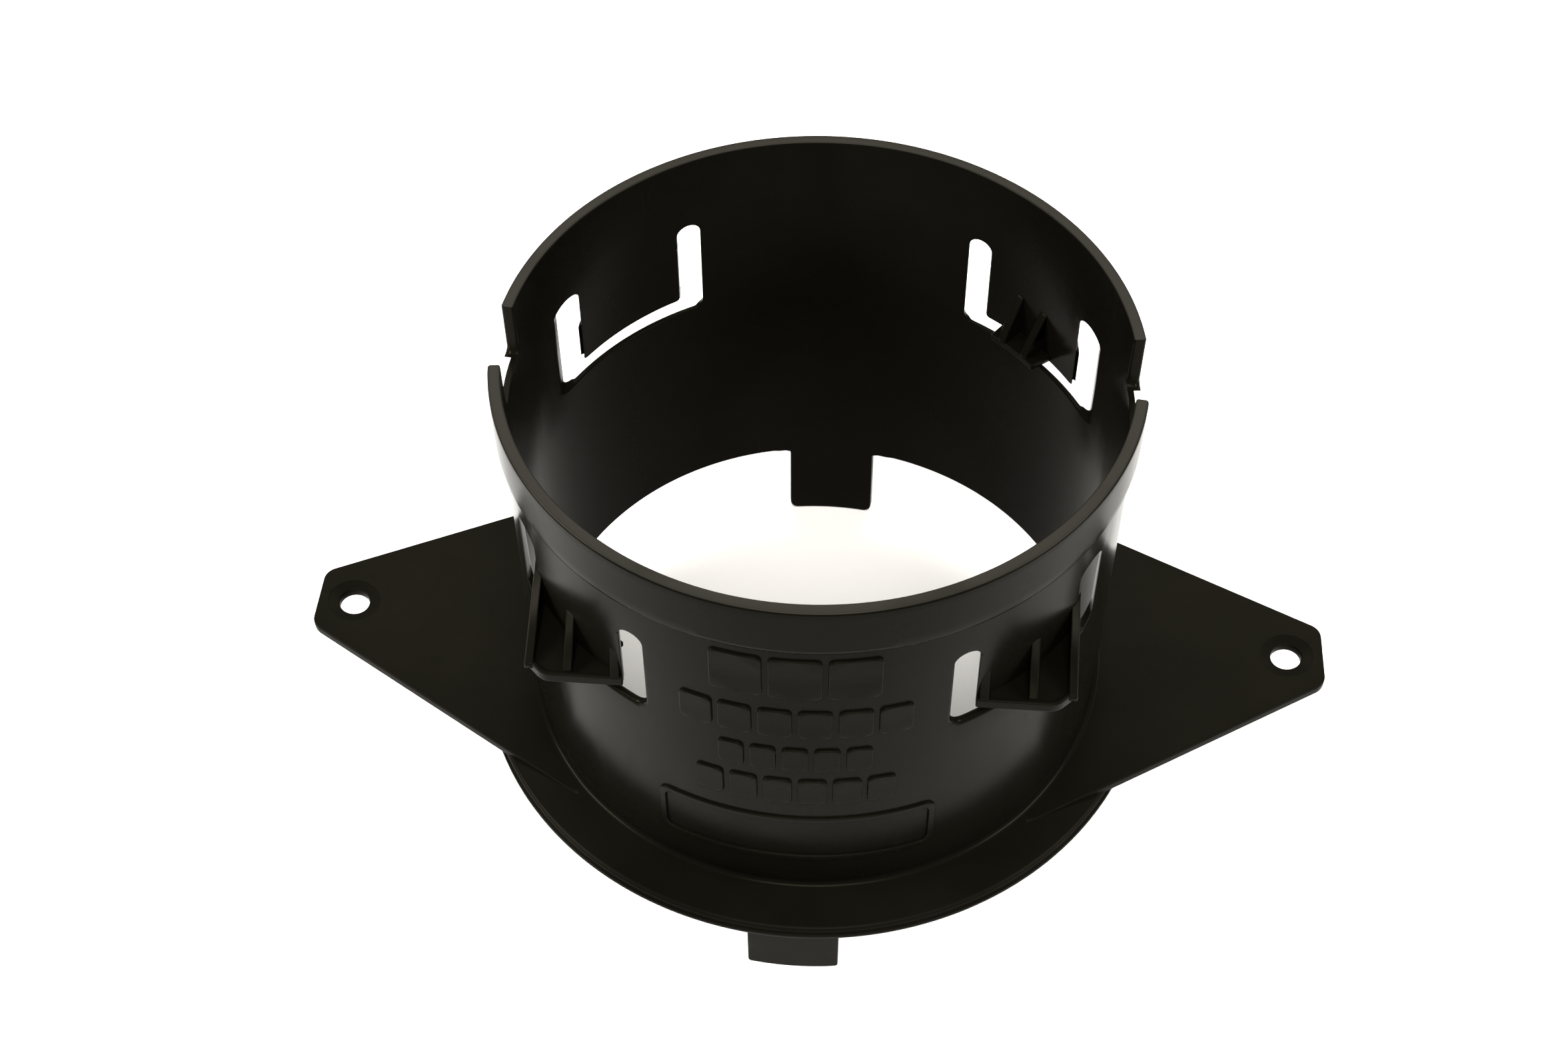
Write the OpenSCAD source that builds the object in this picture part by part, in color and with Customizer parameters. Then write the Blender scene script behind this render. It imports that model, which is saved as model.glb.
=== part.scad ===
// Snap-in drain pipe flange: a thin barrel with a split collar, a base ring with
// two raised screw ears, two hanging tabs and four snap latches.
// Frame: origin on the barrel axis at the level of the tabs' lower ends, +Z up to
// the collar, +X to the right ear, -Y to the front. The modules below draw with
// the underside of the base ring at height zero, and stand() lifts the result.

/* [Barrel] */
// Outside radius of the barrel wall
barrel_r = 49.1; // [48.6:0.1:50]
// Inside radius of the barrel at its bottom end
bore_bottom_r = 47.4; // [46:0.1:47.6]
// Inside radius of the collar at its top end
bore_top_r = 48.2; // [47.8:0.1:48.4]
// Height of the barrel up to the collar
barrel_h = 65.6; // [63:0.1:70]

/* [Collar] */
// Outside radius of the collar
collar_r = 50.2; // [50:0.1:52]
// Height of the collar band
collar_h = 9.9; // [6:0.1:14]
// Width of the two side notches that split the collar
notch_w = 12.8; // [8:0.1:16]
// Bevel on the top outside edge of the collar
collar_bevel = 0.5; // [0.2:0.1:0.8]

/* [Base ring] */
// Outside radius of the base ring
ring_r = 58.1; // [56:0.1:62]
// Thickness of the base ring
ring_t = 2; // [1.6:0.1:3]
// Width of the thin lip round the bottom of the ring edge
lip_w = 0.45; // [0.2:0.05:0.8]
// Height of the thin lip
lip_h = 0.8; // [0.4:0.1:1.2]
// Leg of the bead between the barrel and the ring
bead = 0.9; // [0.5:0.1:1.5]

/* [Ears] */
// Distance from the axis to the flat end of an ear
ear_tip_x = 88.3; // [86:0.1:95]
// Half width of an ear at its flat end
ear_tip_half = 5.9; // [5:0.1:9]
// Growth of the half width for each millimetre towards the barrel
ear_flare = 0.572; // [0.5:0.01:0.6]
// Thickness of an ear
ear_t = 1.9; // [1.5:0.1:3]
// Upward tilt of an ear in degrees
ear_tilt = 5.4; // [3:0.1:7]
// Corner radius at the end of an ear
ear_corner_r = 3; // [1:0.1:5]
// Distance from the axis to the screw hole
hole_x = 82; // [78:0.1:83]
// Diameter of the screw hole
hole_d = 5.2; // [4:0.1:7]
// Diameter of the shallow dish round the screw hole
dish_d = 9; // [7:0.1:10]

/* [Tabs] */
// How far the tabs hang below the ring
tab_drop = 17; // [8:0.1:20]
// Outside radius of the front tab
front_tab_r = 53.9; // [52:0.1:57]
// Width of the front tab
front_tab_w = 15.2; // [10:0.1:20]
// Thickness of the front tab
front_tab_t = 2; // [1.5:0.1:2.5]
// Radius of the free corners of the front tab
front_tab_corner_r = 0.5; // [0.3:0.1:3]
// Width of the rear tab
rear_tab_w = 16.1; // [10:0.1:20]
// Radius of the free corners of the rear tab
rear_tab_corner_r = 1.6; // [0.5:0.1:3]
// Radius of the fillets at the root of a tab
tab_root_r = 1.2; // [0.5:0.1:2]

/* [Latch windows] */
// Distance from the axis to the inner side of a window, along X
window_x0 = 22.9; // [20:0.1:24]
// Distance from the axis to the outer side of a window, along X
window_x1 = 44.4; // [43.5:0.1:45]
// Bottom of a window
window_z0 = 41; // [38:0.1:42]
// Top of the side slots of a front window
window_z1 = 58.4; // [58.4:0.1:60.4]
// Top of the side slots of a rear window, before it is lifted
rear_window_z1 = 60.4; // [58.4:0.1:62]
// How much higher the rear latches are than the front ones
rear_lift = 1.2; // [0:0.1:2]

/* [Latch fingers] */
// Inner side of a finger, along X
finger_x0 = 26.6; // [26:0.1:27]
// Outer side of a finger, along X
finger_x1 = 41.3; // [41:0.1:41.5]
// Bottom end of a finger
finger_z0 = 44.1; // [43.5:0.1:44.5]
// Height of the flexing line that a finger hangs from
flex_z = 56.4; // [55.5:0.1:56.5]
// Clearance at the flexing line
flex_gap = 0.6; // [0.5:0.05:0.8]

/* [Outward hooks] */
// Distance from the axis to the straight front edge of a hook shelf, along Y
hook_y = 41.8; // [41.6:0.1:43]
// Outer side of a hook shelf, along X
hook_x = 41.9; // [41.8:0.1:42.8]
// Leg of the corner cut off the shelf
hook_cut = 3; // [1:0.1:4]
// Thickness of a hook shelf
shelf_t = 1.3; // [1:0.1:2]
// Height of the low lip along the shelf edge
shelf_lip_h = 0.6; // [0.3:0.1:1]
// Width of the low lip
shelf_lip_w = 0.8; // [0.5:0.1:1.2]
// Thickness of a hook rib
rib_t = 1.4; // [1.2:0.1:1.4]
// Inner sides of the inner, middle and outer ribs, along X
rib_x = [27.1, 34.4, 40.4];
// Height at which the ribs meet the finger
rib_top_z = 51.8; // [50:0.1:54]

/* [Inward hooks] */
// How far an inward hook reaches in from the wall
grip_reach = 3.9; // [2:0.1:5]
// Half of the angle that the inward shelf spans
grip_half_angle = 6.4; // [4:0.1:8]
// Angles of the two inward ribs from the middle of the latch
grip_rib_angle = 3.3; // [2:0.1:4]
// Height at which the inward ribs meet the finger
grip_top_z = 53.6; // [50:0.1:55]

/* [Label pad] */
// Width of the blank raised pad on the front, along X
pad_w = 44; // [20:0.5:50]
// Height of the blank pad
pad_h = 12; // [8:0.5:20]
// Height of the middle of the pad above the ring underside
pad_z = 16; // [12:0.5:25]
// How far the pad and the rows above it stand out of the wall
pad_raise = 0.4; // [0.2:0.1:0.8]
// Heights of the middles of the four blank rows above the ring underside
row_z = [29.4, 38, 47.4, 58.7];
// Widths of the four blank rows, along X
row_w = [31, 23.6, 35, 25.4];
// Heights of the four blank rows
row_h = [6.4, 5.8, 6.6, 9.2];

/* [Hidden] */
$fn = 180;
LATCHES = ["front_left", "front_right", "rear_left", "rear_right"];
plastic = "#26282a";
total_h = barrel_h + collar_h;
cut = 1;                        // overshoot of the cutting shapes
reach = 70;                     // longer than any radius of the barrel
latch_angle = 45;               // middle of a latch, from the X axis
ring_top_r = ring_r - lip_w;    // edge of the ring above its lip
edge_r = 0.8;                   // rounding on the top edge of the ring
window_corner_r = 1.8;
notch_corner_r = 1.5;
ear_start_x = 37.5;             // where the top of an ear leaves the ring
hole_z = ring_t + (hole_x - ear_start_x) * tan(ear_tilt);
dish_depth = 0.35;
room = 20;                      // above any point of an ear
rib_root = 3;                   // rib outline inside the wall, before it is cut back
rib_setback = 0.1;              // from a rib's end to the shelf edge
pad_corner_r = 2;
pad_frame = 1.2;
row_corner_r = 0.8;

// Inside radius of the tapered bore at height z
function bore_r(z) = bore_bottom_r + (bore_top_r - bore_bottom_r) * z / total_h;

// Half width of an ear at distance x from the axis
function ear_half(x) = ear_tip_half + (ear_tip_x - x) * ear_flare;

// A plain ring of material between two radii
module band(outer, inner, z0, z1) {
    translate([0, 0, z0]) difference() {
        cylinder(r = outer, h = z1 - z0);
        translate([0, 0, -cut]) cylinder(r = inner, h = z1 - z0 + 2 * cut);
    }
}

// The tapered bore, longer than the wall at both ends
module bore() {
    translate([0, 0, -cut])
        cylinder(r1 = bore_r(-cut), r2 = bore_r(total_h + cut), h = total_h + 2 * cut);
}

// The wall of the barrel between two heights
module wall(outer, z0, z1) {
    difference() {
        translate([0, 0, z0]) cylinder(r = outer, h = z1 - z0);
        bore();
    }
}

// Rectangle with four round corners, made of squares and circles
module round_rect(x0, y0, x1, y1, r) {
    translate([x0 + r, y0]) square([x1 - x0 - 2 * r, y1 - y0]);
    translate([x0, y0 + r]) square([x1 - x0, y1 - y0 - 2 * r]);
    for (x = [x0 + r, x1 - r], y = [y0 + r, y1 - r]) translate([x, y]) circle(r = r);
}

// A profile drawn in X and Z, swept from the axis to the front
module sweep_front() {
    rotate([90, 0, 0]) linear_extrude(height = reach) children();
}

function is_rear(name) = name == "rear_left" || name == "rear_right";

// Copies the front right latch geometry to one of the four places
module at_latch(name) {
    left = name == "front_left" || name == "rear_left";
    rear = is_rear(name);
    translate([0, 0, rear ? rear_lift : 0])
        mirror([left ? 1 : 0, 0, 0]) mirror([0, rear ? 1 : 0, 0]) children();
}

// A vertical slot with a round top, open into the bottom slot
module side_slot(x0, x1, z1) {
    w = x1 - x0;
    z0 = window_z0 + window_corner_r;
    translate([x0, z0]) square([w, z1 - w / 2 - z0]);
    translate([x0 + w / 2, z1 - w / 2]) circle(d = w);
}

// Outline of the U-shaped slot round a finger, with the finger's own space
module window_profile(z1) {
    side_slot(window_x0, finger_x0, z1);
    side_slot(finger_x1, window_x1, z1);
    round_rect(window_x0, window_z0, window_x1, finger_z0 + window_corner_r,
               window_corner_r);
    translate([finger_x0, finger_z0]) square([finger_x1 - finger_x0, flex_z - finger_z0]);
}

module barrel() {
    color(plastic) difference() {
        wall(barrel_r, 0, barrel_h);
        for (latch = LATCHES)
            at_latch(latch) sweep_front()
                window_profile(is_rear(latch) ? rear_window_z1 : window_z1);
    }
}

// Notch in the collar, with round bottom corners, cut through from side to side
module notch() {
    translate([-reach, 0, 0]) rotate([90, 0, 90]) linear_extrude(height = 2 * reach)
        round_rect(-notch_w / 2, barrel_h, notch_w / 2,
                   total_h + cut + notch_corner_r, notch_corner_r);
}

// The collar all the way round, before its halves are parted
module whole_collar() {
    difference() {
        rotate_extrude() polygon([
            [bore_top_r - cut, barrel_h], [collar_r, barrel_h],
            [collar_r, total_h - collar_bevel],
            [collar_r - collar_bevel, total_h], [bore_top_r - cut, total_h]]);
        bore();
        notch();
    }
}

module collar_front() {
    color(plastic) intersection() {
        whole_collar();
        translate([-reach, -reach, 0]) cube([2 * reach, reach, total_h + cut]);
    }
}

module collar_rear() {
    color(plastic) intersection() {
        whole_collar();
        translate([-reach, 0, 0]) cube([2 * reach, reach, total_h + cut]);
    }
}

module base_ring() {
    color(plastic) rotate_extrude() {
        translate([barrel_r, 0]) square([ring_top_r - edge_r - barrel_r, ring_t]);
        translate([barrel_r, 0]) square([ring_top_r - barrel_r, ring_t - edge_r]);
        translate([ring_top_r - edge_r, ring_t - edge_r]) circle(r = edge_r);
    }
}

// The sloping bead that fills the corner between the barrel and the ring
module ring_bead() {
    color(plastic) rotate_extrude()
        polygon([[barrel_r, ring_t], [barrel_r + bead, ring_t], [barrel_r, ring_t + bead]]);
}

module ring_lip() {
    color(plastic) band(ring_r, ring_top_r, 0, lip_h);
}

// Plan of the right ear, wide enough at its inner end to reach the barrel
module ear_plan() {
    r = ear_corner_r;
    difference() {
        polygon([[ear_start_x, -ear_half(ear_start_x)], [ear_tip_x, -ear_tip_half],
                 [ear_tip_x, ear_tip_half], [ear_start_x, ear_half(ear_start_x)]]);
        for (side = [-1, 1]) ear_corner_cut(side, r);
    }
}

// What is cut off one end corner of an ear to leave it round
module ear_corner_cut(side, r) {
    // The slanted side leans by lean degrees from the X axis, so the round
    // corner touches it and the end at the same distance from the corner.
    lean = atan(ear_flare);
    touch = r * tan((90 - lean) / 2);
    difference() {
        polygon([[ear_tip_x - touch * cos(lean), side * (ear_tip_half + touch * sin(lean))],
                 [ear_tip_x + cut, side * (ear_tip_half + touch * sin(lean))],
                 [ear_tip_x + cut, side * (ear_tip_half - touch)],
                 [ear_tip_x, side * (ear_tip_half - touch)],
                 [ear_tip_x - r, side * (ear_tip_half - touch)]]);
        translate([ear_tip_x - r, side * (ear_tip_half - touch)]) circle(r = r);
    }
}

// The tilted plate of the right ear: a slab whose top rises from the ring
module ear_slab() {
    translate([ear_start_x, 0, ring_t]) rotate([0, -ear_tilt, 0])
        translate([-room, -reach, -ear_t]) cube([reach + room, 2 * reach, ear_t]);
}

module ear() {
    difference() {
        intersection() {
            linear_extrude(height = room) ear_plan();
            ear_slab();
        }
        // the barrel, the ring and the lip keep their own space
        translate([0, 0, -cut]) cylinder(r = barrel_r + bead, h = room + cut);
        translate([0, 0, -cut]) cylinder(r = ring_top_r, h = ring_t + cut);
        translate([0, 0, -cut]) cylinder(r = ring_r, h = lip_h + cut);
        translate([hole_x, 0, 0]) cylinder(d = hole_d, h = room);
        translate([hole_x, 0, hole_z - dish_depth]) cylinder(d = dish_d, h = room);
    }
}

module right_ear() { color(plastic) ear(); }

module left_ear() { color(plastic) mirror([1, 0, 0]) ear(); }

// Outline of a tab, root up, with fillets at its root and round free corners
module tab_profile(w, r) {
    round_rect(-w / 2, -tab_drop, w / 2, -r, r);
    translate([-w / 2, -tab_drop + r]) square([w, tab_drop - r]);
    for (side = [-1, 1]) difference() {
        translate([side > 0 ? w / 2 : -w / 2 - tab_root_r, -tab_root_r])
            square([tab_root_r, tab_root_r]);
        translate([side * (w / 2 + tab_root_r), -tab_root_r]) circle(r = tab_root_r);
    }
}

module front_tab() {
    color(plastic) intersection() {
        band(front_tab_r, front_tab_r - front_tab_t, -tab_drop - cut, 0);
        sweep_front() tab_profile(front_tab_w, front_tab_corner_r);
    }
}

module rear_tab() {
    color(plastic) intersection() {
        band(barrel_r, bore_bottom_r, -tab_drop - cut, 0);
        mirror([0, 1, 0]) sweep_front() tab_profile(rear_tab_w, rear_tab_corner_r);
    }
}

module label_pad() {
    color(plastic) intersection() {
        band(barrel_r + pad_raise, barrel_r, pad_z - pad_h, pad_z + pad_h);
        sweep_front() difference() {
            round_rect(-pad_w / 2, pad_z - pad_h / 2, pad_w / 2, pad_z + pad_h / 2,
                       pad_corner_r);
            round_rect(-pad_w / 2 + pad_frame, pad_z - pad_h / 2 + pad_frame,
                       pad_w / 2 - pad_frame, pad_z + pad_h / 2 - pad_frame,
                       pad_corner_r - pad_frame / 2);
        }
    }
}

// Four plain raised rows where the object carries its marking
module label_rows() {
    color(plastic) intersection() {
        band(barrel_r + pad_raise, barrel_r, pad_z + pad_h / 2, barrel_h);
        sweep_front() for (i = [0:len(row_z) - 1])
            round_rect(-row_w[i] / 2, row_z[i] - row_h[i] / 2, row_w[i] / 2,
                       row_z[i] + row_h[i] / 2, row_corner_r);
    }
}

module finger() {
    intersection() {
        wall(barrel_r, finger_z0, flex_z - flex_gap);
        sweep_front() translate([finger_x0, finger_z0])
            square([finger_x1 - finger_x0, flex_z - finger_z0]);
    }
}

// Distance from the X axis to the outside of the wall, and to the shelf edge, at x
function wall_y(x) = sqrt(barrel_r * barrel_r - x * x);
function shelf_y(x) = min(hook_y, hook_x + hook_y - hook_cut - x);

// Distance from the X axis to the flat that touches the wall at x_mid
function flat_y(x, x_mid) = (barrel_r * barrel_r - x * x_mid) / wall_y(x_mid);

// Plan of the hook shelf, with its outer corner cut off
module shelf_plan() {
    polygon([[finger_x0, 0], [hook_x, 0], [hook_x, -shelf_y(hook_x)],
             [hook_x - hook_cut, -hook_y], [finger_x0, -hook_y]]);
}

// The low lip along the shelf edge, from the inner rib to the outer rib
module shelf_lip() {
    x0 = rib_x[0] + rib_t;
    x1 = rib_x[2];
    bend_x = hook_x - hook_cut;
    inner_bend_x = bend_x - shelf_lip_w * (sqrt(2) - 1);
    translate([0, 0, finger_z0]) linear_extrude(height = shelf_t + shelf_lip_h)
        polygon([[x0, -hook_y], [bend_x, -hook_y], [x1, -shelf_y(x1)],
                 [x1, -shelf_y(x1) + shelf_lip_w * sqrt(2)],
                 [inner_bend_x, -hook_y + shelf_lip_w], [x0, -hook_y + shelf_lip_w]]);
}

module hook_shelf() {
    shelf_lip();
    difference() {
        translate([0, 0, finger_z0]) linear_extrude(height = shelf_t) shelf_plan();
        cylinder(r = barrel_r, h = total_h);
    }
}

// Front end of a rib at x: the middle one stops at the lip
function rib_y(index, x) =
    index == 1 ? hook_y - shelf_lip_w : shelf_y(x) - rib_setback;

// One rib of an outward hook: a triangle from the finger to the shelf edge
module hook_rib(index) {
    x0 = rib_x[index];
    x1 = x0 + rib_t;
    x_mid = x0 + rib_t / 2;
    shelf_z = finger_z0 + shelf_t;
    lip_z = shelf_z + shelf_lip_h;
    front_y = rib_y(index, x0) + rib_setback;
    back_y = wall_y(x1) + rib_setback;
    intersection() {
        linear_extrude(height = total_h)
            polygon([[x0, -flat_y(x0, x_mid)], [x0, -rib_y(index, x0)],
                     [x1, -rib_y(index, x1)], [x1, -flat_y(x1, x_mid)]]);
        translate([x0 - cut, 0, 0]) rotate([90, 0, 90])
            linear_extrude(height = rib_t + 2 * cut)
                polygon([[-back_y + rib_root, shelf_z], [-front_y - cut, shelf_z],
                         [-front_y - cut, lip_z], [-front_y, lip_z],
                         [-back_y, rib_top_z], [-back_y + rib_root, rib_top_z]]);
    }
}

// Keeps what lies inside the latch's own bore, for the inward hook
module grip_space(inner) {
    difference() {
        bore();
        translate([0, 0, -cut]) cylinder(r = inner, h = total_h + 2 * cut);
    }
}

module grip_shelf() {
    spread = reach * tan(grip_half_angle);
    intersection() {
        grip_space(bore_r(finger_z0) - grip_reach);
        rotate([0, 0, -latch_angle]) translate([0, 0, finger_z0])
            linear_extrude(height = shelf_t)
                polygon([[0, 0], [reach, -spread], [reach, spread]]);
    }
}

module grip_ribs() {
    inner_r = bore_r(finger_z0) - grip_reach;
    wall_r = bore_r(grip_top_z);
    shelf_z = finger_z0 + shelf_t;
    intersection() {
        grip_space(inner_r);
        for (side = [-1, 1])
            rotate([0, 0, -latch_angle + side * grip_rib_angle])
                translate([0, rib_t / 2, 0]) rotate([90, 0, 0])
                    linear_extrude(height = rib_t)
                        polygon([[inner_r, shelf_z], [wall_r + rib_root, shelf_z],
                                 [wall_r + rib_root, grip_top_z], [wall_r, grip_top_z],
                                 [inner_r, shelf_z + shelf_lip_h]]);
    }
}

// Draws one piece of one latch by its name
module latch_piece(piece) {
    if (piece == "finger") finger();
    if (piece == "shelf") hook_shelf();
    if (piece == "inner_rib") hook_rib(0);
    if (piece == "middle_rib") hook_rib(1);
    if (piece == "outer_rib") hook_rib(2);
    if (piece == "grip_shelf") grip_shelf();
    if (piece == "grip_ribs") grip_ribs();
}

// Lifts a piece until the lower ends of the tabs are at height zero
module stand() {
    translate([0, 0, tab_drop]) children();
}

stand() barrel();
stand() collar_front();
stand() collar_rear();
stand() base_ring();
stand() ring_bead();
stand() ring_lip();
stand() left_ear();
stand() right_ear();
stand() front_tab();
stand() rear_tab();
stand() label_pad();
stand() label_rows();
for (latch = LATCHES,
     piece = ["finger", "shelf", "inner_rib", "middle_rib", "outer_rib"])
    color(plastic) stand() at_latch(latch) latch_piece(piece);
for (latch = ["front_left", "rear_right"], piece = ["grip_shelf", "grip_ribs"])
    color(plastic) stand() at_latch(latch) latch_piece(piece);
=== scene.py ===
"""The looks of a snap-in drain pipe flange: one black moulding with four springy latches.

Every CAD node gets a refined piece in the same place: the same walls, ribs and plates with
moulded roundings on their edges. Lengths are in millimetres up to the point where a mesh is
made, and angles are in radians unless a name says degrees.
"""

import math

import bmesh
import bpy
import numpy as np
from mathutils import Matrix, Vector
from mathutils.geometry import delaunay_2d_cdt


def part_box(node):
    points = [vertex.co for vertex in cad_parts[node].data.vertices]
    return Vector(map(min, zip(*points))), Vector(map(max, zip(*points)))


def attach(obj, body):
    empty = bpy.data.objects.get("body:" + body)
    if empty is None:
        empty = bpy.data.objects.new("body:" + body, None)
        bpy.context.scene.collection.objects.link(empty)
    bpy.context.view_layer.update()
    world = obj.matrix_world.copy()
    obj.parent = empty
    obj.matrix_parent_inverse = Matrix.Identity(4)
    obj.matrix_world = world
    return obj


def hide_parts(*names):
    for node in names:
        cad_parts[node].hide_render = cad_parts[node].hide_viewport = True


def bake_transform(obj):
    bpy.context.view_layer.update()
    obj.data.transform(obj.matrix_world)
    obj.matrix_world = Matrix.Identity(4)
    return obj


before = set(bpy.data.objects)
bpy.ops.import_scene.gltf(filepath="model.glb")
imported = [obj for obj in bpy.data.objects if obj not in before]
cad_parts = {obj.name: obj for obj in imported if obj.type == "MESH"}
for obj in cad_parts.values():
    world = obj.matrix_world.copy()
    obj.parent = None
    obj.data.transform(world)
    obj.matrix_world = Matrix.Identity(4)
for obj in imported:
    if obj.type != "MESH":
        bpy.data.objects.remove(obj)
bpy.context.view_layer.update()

MM = 0.001


# ---------------------------------------------------------------- sizes, from the CAD frame

def span(node):
    """Lowest and highest corner of a CAD node, in mm."""
    low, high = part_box(node)
    return [value / MM for value in low], [value / MM for value in high]


wall_low, wall_high = span("barrel")
R_WALL = wall_high[0]
Z_RING = wall_low[2]
Z_COLLAR = wall_high[2]
R_COLLAR = -span("collar_front")[0][1]
Z_TOP = span("collar_front")[1][2]
R_RING = span("base_ring")[1][0]
Z_RING_TOP = span("base_ring")[1][2]
R_LIP = span("ring_lip")[1][0]
Z_LIP = span("ring_lip")[1][2]
BEAD = span("ring_bead")[1][0] - R_WALL
BORE_BOTTOM = 47.4  # inside radius at the ring, which no box shows
BORE_TOP = 48.2  # inside radius at the rim

finger_low, finger_high = span("front_right_finger")
FINGER_X0, FINGER_X1 = finger_low[0], finger_high[0]
FINGER_Z0 = finger_low[2]
FLEX_GAP = 0.6  # the CAD clearance above a finger, where the plastic bends
Z_FLEX = finger_high[2] + FLEX_GAP
SEAM_SIDE = 0.15  # upright stretch of outline beside the seam of a finger and the barrel
SLOT_X0, SLOT_X1 = FINGER_X0 - 3.7, FINGER_X1 + 3.1  # outer sides of the slots by a finger
SLOT_Z0 = FINGER_Z0 - 3.1
SLOT_ABOVE_FRONT = 2.0  # from the flexing line up to the top of a slot
SLOT_ABOVE_REAR = 4.0
SLOT_CORNER = 1.8
SILL = 0.85  # rounding of the lower edge of a slot
SILL_BAND = 0.1  # how far above its lowest points that edge counts as the lower one
NOTCH_HALF = 6.4  # half the width of a side notch between the collar halves
NOTCH_CORNER = 1.5
FILLET_SWEEP = 82  # degrees of a fillet's arc, short of 90 so that no corner ends in a point

LATCHES = {  # side and front of each latch, as signs
    "front_left": (-1, 1),
    "front_right": (1, 1),
    "rear_left": (-1, -1),
    "rear_right": (1, -1),
}
GRIPPING = ("front_left", "rear_right")
REAR_LIFT = span("rear_left_finger")[0][2] - FINGER_Z0  # the rear latches sit higher

COLUMN = 1.25  # width of one facet round the barrel
ROW = 5.0  # height of one facet on a plain wall
COLLAR_ROW = 1.2
ROUND_STEPS = 3  # facets across a rounded edge
CORNER_STEPS = 5  # facets across a rounded corner
SHARP_DEGREES = 35  # edges with a larger angle stay sharp
SAME_POINT = 0.002  # points closer than this are joined
NEAR = 0.01  # lengths that differ by less than this count as equal
TINY = 1e-6


def lift(latch):
    """How much higher than the front latches this one sits."""
    return 0 if LATCHES[latch][1] > 0 else REAR_LIFT


def bore(z):
    """Inside radius of the tapered bore."""
    return BORE_BOTTOM + (BORE_TOP - BORE_BOTTOM) * (z - Z_RING) / (Z_TOP - Z_RING)


def smooth(low, high, value):
    """0 below low, 1 above high, and a smooth step between."""
    t = min(1.0, max(0.0, (value - low) / (high - low)))
    return t * t * (3 - 2 * t)


# ---------------------------------------------------------------- outlines

def arc(centre, radius, start_degrees, end_degrees, steps=6):
    """Points along an arc, both ends included."""
    points = []
    for step in range(steps + 1):
        angle = math.radians(start_degrees + (end_degrees - start_degrees) * step / steps)
        points.append((centre[0] + radius * math.cos(angle), centre[1] + radius * math.sin(angle)))
    return points


def divided(loop, step):
    """The closed outline with no side longer than step."""
    points = []
    for here, there in zip(loop, loop[1:] + loop[:1]):
        count = max(1, math.ceil(math.dist(here, there) / step - TINY))
        for part in range(count):
            t = part / count
            points.append((here[0] + (there[0] - here[0]) * t, here[1] + (there[1] - here[1]) * t))
    return points


def area(loop):
    """Signed area of an outline, positive when it runs anticlockwise."""
    return sum(a[0] * b[1] - b[0] * a[1] for a, b in zip(loop, loop[1:] + loop[:1])) / 2


def wound(loop, anticlockwise):
    """The outline, turned round if it runs the wrong way."""
    return loop if (area(loop) > 0) == anticlockwise else loop[::-1]


def rounded_box(u0, v0, u1, v1, radius):
    """Outline of a rectangle with round corners."""
    return (
        arc((u1 - radius, v0 + radius), radius, -90, 0, CORNER_STEPS)
        + arc((u1 - radius, v1 - radius), radius, 0, 90, CORNER_STEPS)
        + arc((u0 + radius, v1 - radius), radius, 90, 180, CORNER_STEPS)
        + arc((u0 + radius, v0 + radius), radius, 180, 270, CORNER_STEPS)
    )


def round_corners(corners, radii, steps=CORNER_STEPS):
    """A polygon with each corner rounded by its own radius, 0 leaving it sharp."""
    points = []
    for index, (corner, radius) in enumerate(zip(corners, radii)):
        if radius == 0:
            points.append(corner)
            continue
        here = Vector(corner)
        back = (Vector(corners[index - 1]) - here).normalized()
        ahead = (Vector(corners[(index + 1) % len(corners)]) - here).normalized()
        half = back.angle(ahead) / 2
        centre = here + (back + ahead).normalized() * radius / math.sin(half)
        start = here + back * radius / math.tan(half) - centre
        end = here + ahead * radius / math.tan(half) - centre
        turn = start.angle_signed(end)
        for step in range(steps + 1):
            points.append(tuple(centre + Matrix.Rotation(-turn * step / steps, 2) @ start))
    return points


# ---------------------------------------------------------------- solids

def inset_corners(loop):
    """For each point, the direction towards the material that keeps sides parallel."""
    insets = []
    for index, point in enumerate(loop):
        here = Vector(point)
        before = (here - Vector(loop[index - 1])).normalized()
        after = (Vector(loop[(index + 1) % len(loop)]) - here).normalized()
        left_before = Vector((-before.y, before.x))
        left_after = Vector((-after.y, after.x))
        middle = left_before + left_after
        insets.append(middle / max(0.5, middle.dot(left_before)))
    return insets


def inside(points, loops):
    """Which points lie inside the first outline and outside the others."""
    hit = np.zeros(len(points), bool)
    x, y = points[:, 0], points[:, 1]
    for loop in loops:
        for (x0, y0), (x1, y1) in zip(loop, loop[1:] + loop[:1]):
            if y0 == y1:
                continue
            crosses = (y0 > y) != (y1 > y)
            hit ^= crosses & (x < (x1 - x0) * (y - y0) / (y1 - y0) + x0)
    return hit


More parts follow.
